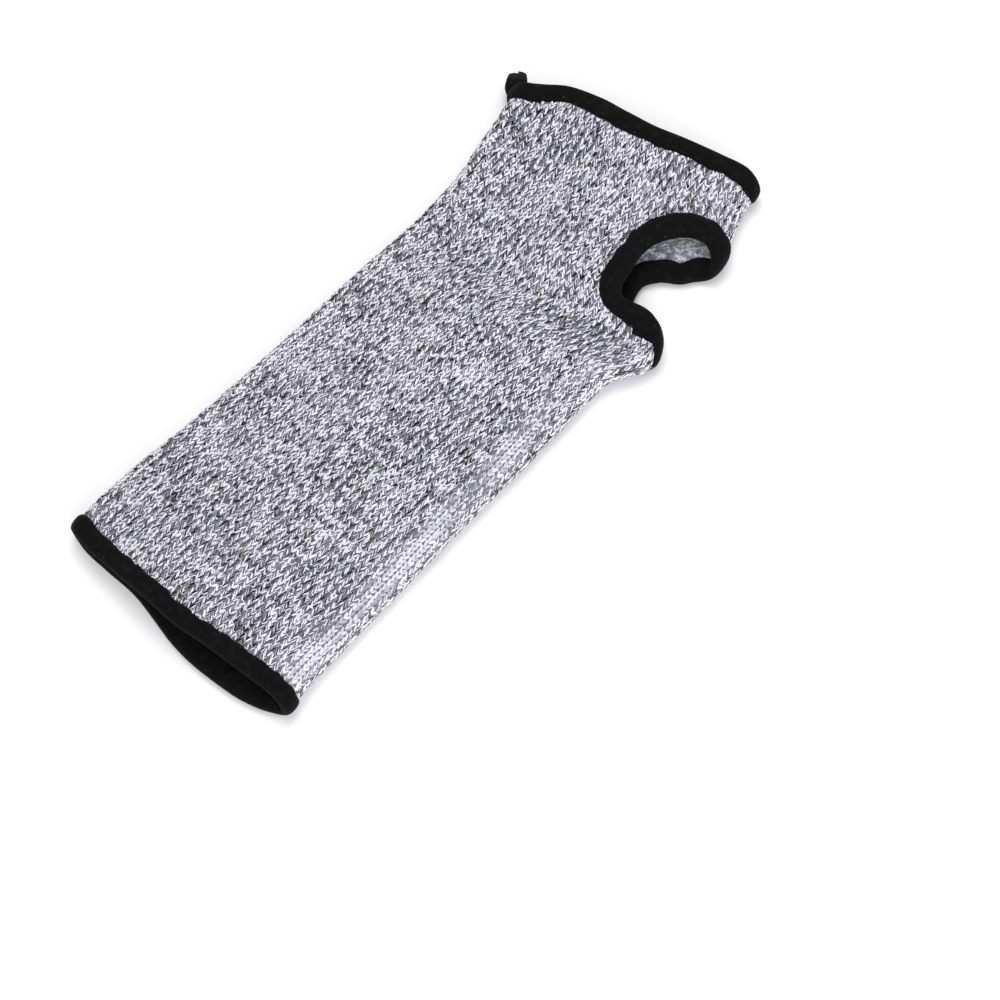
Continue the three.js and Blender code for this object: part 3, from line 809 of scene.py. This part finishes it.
def near_lip(around, along):
    """1 at the lips of the tapes and 0 away from them."""
    edge_around, edge_along = hole_outline(steps=12)
    gaps_round = around[:, None] - edge_around
    gaps_long = (along[:, None] - edge_along) * FOLD_LENGTH
    from_hole = np.hypot(gaps_round, gaps_long).min(axis=1) - THUMB_TAPE_REACH
    from_end = np.minimum(along, 1 - along) * FOLD_LENGTH - TAPE_REACH
    away = np.minimum(np.abs(from_hole), np.abs(from_end))
    return np.exp(-((away / LIFT_HALF) ** 2))


def painted_highlight_at(around, along):
    """Up to 1 in the patchy band of painted highlight beside the thumb-side fold, from the forearm end to a
    set share of the sleeve's length.
    """
    beside_fold = np.exp(-(((around - FOLD_HIGHLIGHT_MIDDLE) / FOLD_HIGHLIGHT_HALF) ** 2))
    patch = waves(around / FOLD_HIGHLIGHT_PATCH_ROUND, along * FOLD_LENGTH / FOLD_HIGHLIGHT_PATCH_LONG, 14)
    patchy = smooth(FOLD_HIGHLIGHT_PATCH_MEAN + FOLD_HIGHLIGHT_PATCH_SWING * patch)
    return beside_fold * patchy * smooth((FOLD_HIGHLIGHT_END - along) / FOLD_HIGHLIGHT_FADE)


def wander(row, wale, course):
    """Slow wave over the knit, by a row such as DRIFT."""
    return row["size"] * waves(wale * row["per_wale"], course * row["per_course"], row["seed"])


def knit_legs(name, first_wale, wale_count, seed):
    """Two domed legs for each stitch over some of the wales, as one mesh."""
    random = np.random.default_rng(seed)
    template, triangles = leg_template()
    wale, course, hand = np.meshgrid(
        first_wale + np.arange(wale_count) + 0.5,
        np.arange(-1, COURSES + 1) + 0.5,
        np.array([-1.0, 1.0]),
        indexing="ij",
    )
    wale, course, hand = wale.ravel(), course.ravel(), hand.ravel()
    pitch = whole_at(np.clip(course / COURSES, 0, 1)) / WALES
    rise = FOLD_LENGTH / COURSES
    places = [(wale + wander(DRIFT, wale, course)) * pitch, (course + wander(SLIP, wale, course)) * rise]
    centre = np.stack(places, axis=-1)
    count = len(wale)
    outer, inner, low, high = [
        row["middle"] + row["spread"] * random.uniform(-1, 1, count) for row in LEG_ENDS
    ]
    start = centre + np.stack([hand * outer * pitch, low * rise], axis=-1)
    end = centre + np.stack([hand * inner * pitch, high * rise], axis=-1)
    half_width = LEG_HALF_WIDTH * random.uniform(*LEG_WIDTHS, count)
    bend = hand * LEG_BEND * random.uniform(*LEG_BENDS, count)
    top = LEG_TOP * random.uniform(*LEG_TOPS, count)
    flat_points = leaf_points(start, end, half_width, bend, template)
    along = flat_points[..., 1] / FOLD_LENGTH
    edge_share = flat_points[..., 0] / (pitch[:, None] * WALES)
    around = signed_around(edge_share, np.clip(along, 0, 1))
    middle = 1 + len(LEG_COLUMNS)
    in_hole = inside_hole(around[:, middle], along[:, middle], HOLE_MARGIN)
    on_tube = ((along > END_MARGIN) & (along < 1 - END_MARGIN)).all(axis=1)
    inside = on_tube & ~in_hole
    around, along = around[inside], along[inside]
    raised = near_lip(around[:, middle], along[:, middle])
    lift = LEG_LIFT * random.uniform(0, 1, len(around)) * raised
    height = LEG_ROOT + (top[inside, None] + lift[:, None] - LEG_ROOT) * template[:, 3]
    points = off_wall(around, along, height).reshape(-1, 3)
    kept = len(around)
    faces = (np.arange(kept)[:, None, None] * len(template) + triangles).reshape(-1, 3)
    share = edge_share[inside].ravel() - first_wale / WALES
    map_margin = 0.006
    uv = np.stack([share * WALES / (wale_count + 1) + map_margin, along.ravel()], axis=-1)
    piece = new_piece(name, points, faces, KNIT_LOOK, np.clip(uv, 0, 1))
    seeds = np.repeat((random.uniform(0, 1, count) + (hand > 0))[inside], len(template))
    across = np.tile(template[:, 1], kept)
    length = np.tile(template[:, 0], kept)
    add_attribute(piece, "strand", across, length, seeds)
    # Painted highlight beside the thumb-side fold, which the material reads
    painted_highlight = painted_highlight_at(around[:, middle], along[:, middle])
    add_attribute(piece, "painted_highlight", np.repeat(painted_highlight, len(template)))
    return piece


# Half width of a fibre along its length, as a share of FUZZ_HALF_WIDTH
FUZZ_RINGS = [
    {"along": 0.0, "wide": 1.0},
    {"along": 0.5, "wide": 0.9},
    {"along": 1.0, "wide": 0.4},
]


def knit_fuzz(count, seed):
    """Fine loose fibres that stand off the upper layer and the two folds."""
    random = np.random.default_rng(seed)
    along = random.uniform(*FUZZ_ENDS, count)
    upper_round = widths_at(along)[2] + (2 + 2 * FUZZ_UNDER) * FOLD_QUARTER
    around = random.uniform(0, 1, count) * upper_round - FUZZ_UNDER * FOLD_QUARTER
    on_knit = ~inside_hole(around, along, THUMB_TAPE_REACH)
    around, along = around[on_knit], along[on_knit]
    count = len(around)
    round_way, length_way, normal = slopes_at(around, along)
    turn = random.uniform(0, math.tau, (count, 1))
    lie = unit(round_way) * np.cos(turn) + unit(length_way) * np.sin(turn)
    side = unit(np.cross(lie, normal)) * FUZZ_HALF_WIDTH
    length = random.uniform(*FUZZ_LENGTHS, (count, 1))
    rise = random.uniform(*FUZZ_RISES, (count, 1))
    root = wall_at(around, along) + normal * FUZZ_ROOT
    rings = []
    for ring in FUZZ_RINGS:
        droop = 1 - FUZZ_DROOP * ring["along"]
        spot = root + length * ring["along"] * (lie + normal * rise * droop)
        rings.append(np.stack([spot - side * ring["wide"], spot + side * ring["wide"]], axis=1))
    points = np.stack(rings, axis=1).reshape(-1, 3)
    strip = np.array([[0, 1, 3], [0, 3, 2], [2, 3, 5], [2, 5, 4]])
    faces = (np.arange(count)[:, None, None] * 2 * len(FUZZ_RINGS) + strip).reshape(-1, 3)
    cells = int(math.ceil(math.sqrt(count)))
    spots = np.stack([np.arange(count) % cells, np.arange(count) // cells], axis=-1)
    cell_share = 0.8
    corners = np.array([[0, 0], [1, 0], [0, 0.5], [1, 0.5], [0, 1], [1, 1]]) * cell_share
    uv = ((spots[:, None] + (1 - cell_share) / 2 + corners) / cells).reshape(-1, 2)
    return new_piece("knit_fuzz", points, faces, FUZZ_LOOK, uv)


# Folded tapes

SECTION_POWER = 2.6
SECTION_POINTS = 27
SECTION_PUFF = 1.06

# Relief of a tape, as shares of its section, and its seam at a share of the half turn
PUFF = 0.045
PUFF_LENGTH = 5 * MM
RIB_HEIGHT = 0.010
SEAM_DEPTH = 0.05
SEAM_TURN = 0.80
SEAM_HALF = 0.035

# Uneven lips of a tape
LIP_TURN = 0.72
LIP_FADE = 0.18
LIP_WANDER_INSIDE = 0.7 * MM
LIP_WANDER_OUTSIDE = 0.32 * MM
LIP_WANDER_LENGTH = 1.4 * MM


def squared(value, power):
    """A sine or cosine raised to a power, sign kept. A power below 1 makes a circle squarer."""
    return np.sign(value) * np.abs(value) ** power


def tape_section(reach, inner_reach):
    """Outer and slot points of a folded tape: distance past the knit edge and height off the wall."""
    lip_half = KNIT / 2 + LIP_GAP
    nose = CLEARANCE + TAPE
    half_long = (reach + nose) / 2
    half_high = SECTION_PUFF * TAPE_HALF
    last_turn = math.pi - math.asin((lip_half / half_high) ** (SECTION_POWER / 2))
    turns = np.linspace(last_turn, -last_turn, SECTION_POINTS)
    out = (nose - reach) / 2 + half_long * squared(np.cos(turns), 2 / SECTION_POWER)
    up = half_high * squared(np.sin(turns), 2 / SECTION_POWER)
    out = np.where(up < 0, nose - (nose - out) * (nose + inner_reach) / (nose + reach), out)
    depth = SLOT_DEPTH_SHARE * reach
    slot_out = np.array([-depth, CLEARANCE, CLEARANCE, -depth])
    slot_up = np.array([-SLOT_HALF, -SLOT_HALF, SLOT_HALF, SLOT_HALF])
    turns = np.concatenate([turns / math.pi, np.zeros(len(slot_up))])
    outer = np.concatenate([np.ones(SECTION_POINTS), np.zeros(len(slot_up))])
    return np.concatenate([out, slot_out]), np.concatenate([up, slot_up]), turns, outer


def path_frame(around, along, side):
    """Ways round and along the tube at a closed edge, and the way straight out of it."""
    points = wall_at(around, along)
    travel = np.roll(points, -1, axis=0) - np.roll(points, 1, axis=0)
    round_way, length_way, normal = slopes_at(around, along)
    outward = unit(np.cross(travel, normal)) * side
    return round_way, length_way, outward


def even_out(values, spacing, width):
    """Values round a closed path, averaged over a width on each side."""
    reach = int(3 * width / spacing)
    steps = np.arange(-reach, reach + 1)
    weights = np.exp(-0.5 * (steps * spacing / width) ** 2)
    total = sum(weight * np.roll(values, step) for weight, step in zip(weights, steps))
    return total / weights.sum()


def tape_piece(name, path, side, reach, inner_reach, level, seed):
    """One folded tape round a closed knit edge. level keeps its section along the tube."""
    around, along, distance = path
    round_way, length_way, outward = path_frame(around, along, side)
    if level:
        around_step = np.zeros(len(around))
        along_step = 1 / (length_way * outward).sum(axis=1)
    else:
        rr = (round_way * round_way).sum(axis=1)
        rl = (round_way * length_way).sum(axis=1)
        ll = (length_way * length_way).sum(axis=1)
        outward_round = (outward * round_way).sum(axis=1)
        outward_length = (outward * length_way).sum(axis=1)
        around_step = (outward_round * ll - outward_length * rl) / (rr * ll - rl * rl)
        along_step = (outward_length * rr - outward_round * rl) / (rr * ll - rl * rl)
        around_step = even_out(around_step, distance[1], EVEN_WIDTH)
        along_step = even_out(along_step, distance[1], EVEN_WIDTH)
    out, up, turns, outer = tape_section(reach, inner_reach)
    whole = distance[-1] + distance[1]
    circle = math.tau * distance / whole
    loop = whole / math.tau
    far, near = loop * np.cos(circle)[:, None], loop * np.sin(circle)[:, None]
    puff = PUFF * waves(far / PUFF_LENGTH + 2 * turns, near / PUFF_LENGTH, seed)
    ribs = RIB_HEIGHT * np.sin(round(whole / RIB_SPACING) * circle)[:, None]
    seam = -SEAM_DEPTH * np.exp(-((np.abs(turns) - SEAM_TURN) / SEAM_HALF) ** 2)
    swell = 1 + (puff + ribs + seam) * outer
    lip = smooth((np.abs(turns) - LIP_TURN) / LIP_FADE) * outer
    lip_phase = far / LIP_WANDER_LENGTH + 5 * np.sign(turns)
    lip_size = np.where(up < 0, LIP_WANDER_INSIDE, LIP_WANDER_OUTSIDE)
    uneven = lip_size * waves(lip_phase, near / LIP_WANDER_LENGTH, seed + 1) * lip
    middle_out = (CLEARANCE + TAPE - reach) / 2
    ring_out = middle_out + (out - middle_out) * swell + uneven
    ring_up = up * swell
    around_grid = around[:, None] + around_step[:, None] * ring_out
    along_grid = along[:, None] + along_step[:, None] * ring_out
    points = off_wall(around_grid, along_grid, ring_up)
    rows, columns = points.shape[:2]
    faces = grid_faces(rows, columns, True, True)
    if side < 0:
        faces = faces[:, ::-1]
    spot = np.broadcast_to(np.arange(columns) / columns, (rows, columns))
    place = np.broadcast_to((distance / whole)[:, None], (rows, columns))
    uv = np.stack([place, spot], axis=-1).reshape(-1, 2)
    piece = new_piece(name, points.reshape(-1, 3), faces, TAPE_LOOK, uv)
    add_attribute(piece, "tape", np.broadcast_to(distance[:, None], (rows, columns)))
    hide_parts(name.replace("folded_", "") + "_binding")
    return piece


def end_path(along):
    """The cut edge of the knit at one end of the tube."""
    steps = 600
    whole = float(whole_at(np.array(along)))
    around = np.linspace(0, whole, steps, endpoint=False)
    return even_path(around, np.full(steps, float(along)), PATH_STEP, whole)


# Crease along both faces of the tail, and notch in its tip. place and half are shares of the half
# width, start and run are shares of the length, and the crease's depth is one of the thickness.
TAIL_CREASE = {"depth": 0.30, "half": 0.30, "start": 0.35, "run": 0.5}
TAIL_NOTCH = {"depth": 1.2 * MM, "place": -0.25, "half": 0.25, "start": 0.55, "run": 0.5}
TAIL_TIP_SLANT = 0.5 * MM
TAIL_LUMPS = 0.05


def tail_piece():
    """The short folded end of tape that curls up at the left corner of the hand opening."""
    corner = 2 * FOLD_QUARTER + widths_at(1.0)[2]
    _, length_way, normal = slopes_at(corner, 1.0)
    onward = unit(length_way)
    heading = unit(onward + TAIL_TILT * normal)
    sideways = unit(np.cross(heading, (0, 0, 1)))
    upward = np.cross(sideways, heading)
    root = off_wall(corner, 1.0, TAPE_HALF) - onward * (TAPE_HALF + TAIL_SUNK) + np.array(TAIL_ASIDE)
    body_rings, cap_rings, sides = 26, 8, 40
    cap = 1 + TAIL_CAP * np.linspace(0, 1, cap_rings + 1)[1:]
    place = np.concatenate([np.linspace(0, 1, body_rings), cap])
    tip_size = 0.02
    closing = np.sqrt(np.clip(1 - ((place - 1) / TAIL_CAP) ** 2, tip_size**2, 1))
    closing[:body_rings] = 1
    far = place[:, None]
    wide = read_table(TAIL_SECTIONS, "along", "wide", place) * TAIL_WIDTH / 2 * closing
    thick = read_table(TAIL_SECTIONS, "along", "thick", place) * TAIL_THICKNESS / 2 * closing
    turns = math.tau * np.arange(sides) / sides
    cosine, sine = np.cos(turns), np.sin(turns)
    side, top = squared(cosine, TAIL_POWER), squared(sine, TAIL_POWER)
    fold = np.exp(-(cosine / TAIL_CREASE["half"]) ** 2)
    crease = 1 - TAIL_CREASE["depth"] * fold * smooth((far - TAIL_CREASE["start"]) / TAIL_CREASE["run"])
    lumps = 1 + TAIL_LUMPS * waves(3 * cosine + 4 * far, 3 * sine, 41)
    centre = root + heading * far * TAIL_LENGTH + upward * TAIL_CURL * far**2
    across = (side * lumps * wide[:, None])[..., None] * sideways
    gap = np.exp(-(((side - TAIL_NOTCH["place"]) / TAIL_NOTCH["half"]) ** 2))
    notch = TAIL_NOTCH["depth"] * gap + TAIL_TIP_SLANT * (1 - side)
    drop = notch * smooth((far - TAIL_NOTCH["start"]) / TAIL_NOTCH["run"])
    points = centre[:, None] + across - drop[..., None] * heading
    points = points + (top * lumps * crease * thick[:, None])[..., None] * upward
    faces = grid_faces(len(place), sides, False, True)
    rings = np.broadcast_to(far, points.shape[:2])
    columns = np.broadcast_to(turns / math.tau, points.shape[:2])
    uv = np.stack([columns, rings / place[-1]], axis=-1).reshape(-1, 2)
    piece = new_piece("binding_tail", points.reshape(-1, 3), faces, TAPE_LOOK, uv)
    add_attribute(piece, "tape", rings * TAIL_RIB_LENGTH, rings)
    return piece


# Scene

FLOOR_SIZE = 8
FLOOR_COLOUR = (0.93, 0.93, 0.94, 1)
SURROUND_LEVEL = 0.74
LIGHTS = [
    {"name": "key", "place": (-0.5, 0.5, 1.3), "size": 1.0, "power": 11.0},
    {"name": "fill", "place": (1.0, -0.6, 0.5), "size": 0.8, "power": 9.0},
]

# The photograph's view
AZIMUTH = math.radians(42)
ELEVATION = math.radians(70)
TARGET = Vector((47.5 * MM, -17.4 * MM, 0))
CAMERA_DISTANCE = 1.0
LENS = 107.8
SENSOR = 36


def studio():
    """Plain pale floor, soft light from above and a white surround."""
    bpy.ops.mesh.primitive_plane_add(size=FLOOR_SIZE)
    floor = bpy.context.object
    floor.name = "floor"
    material = bpy.data.materials.new("floor")
    material.use_nodes = True
    surface = material.node_tree.nodes["Principled BSDF"]
    surface.inputs["Base Color"].default_value = FLOOR_COLOUR
    surface.inputs["Roughness"].default_value = 0.9
    floor.data.materials.append(material)
    world = bpy.data.worlds.new("surround")
    world.use_nodes = True
    background = world.node_tree.nodes["Background"]
    background.inputs["Color"].default_value = (1, 1, 1, 1)
    background.inputs["Strength"].default_value = SURROUND_LEVEL
    bpy.context.scene.world = world
    for row in LIGHTS:
        data = bpy.data.lights.new(row["name"], "AREA")
        data.size = row["size"]
        data.energy = row["power"]
        light = bpy.data.objects.new(row["name"], data)
        light.location = row["place"]
        light.rotation_mode = "QUATERNION"
        light.rotation_quaternion = (-Vector(row["place"])).to_track_quat("-Z", "Y")
        bpy.context.scene.collection.objects.link(light)
    bpy.context.scene.view_settings.view_transform = "Standard"


def camera():
    """Looks at the sleeve as the photograph does."""
    back = Vector((
        math.sin(AZIMUTH) * math.cos(ELEVATION),
        -math.cos(AZIMUTH) * math.cos(ELEVATION),
        math.sin(ELEVATION),
    ))
    data = bpy.data.cameras.new("camera")
    data.lens = LENS
    data.sensor_width = SENSOR
    data.clip_start = 0.01
    data.clip_end = 20
    view = bpy.data.objects.new("camera", data)
    view.location = TARGET + CAMERA_DISTANCE * back
    view.rotation_mode = "QUATERNION"
    view.rotation_quaternion = (-back).to_track_quat("-Z", "Y")
    bpy.context.scene.collection.objects.link(view)
    bpy.context.scene.camera = view


camera()
studio()
ground = knit_base()
half_wales = WALES // 2
pieces = [
    knit_legs("knit_stitches_upper", 0, half_wales, 21),
    knit_legs("knit_stitches_lower", half_wales, WALES - half_wales, 22),
    knit_fuzz(FUZZ_COUNT, 23),
]
thumb_path = even_path(*hole_outline(steps=30), PATH_STEP)
pieces += [
    tape_piece("folded_thumb", thumb_path, -1, THUMB_TAPE_REACH, THUMB_TAPE_REACH, False, 31),
    tape_piece("folded_hand", end_path(1), 1, TAPE_REACH, TAPE_REACH, True, 32),
    tape_piece("folded_forearm", end_path(0), -1, TAPE_REACH, TAPE_REACH + DEEPER_LIP, True, 33),
    tail_piece(),
]
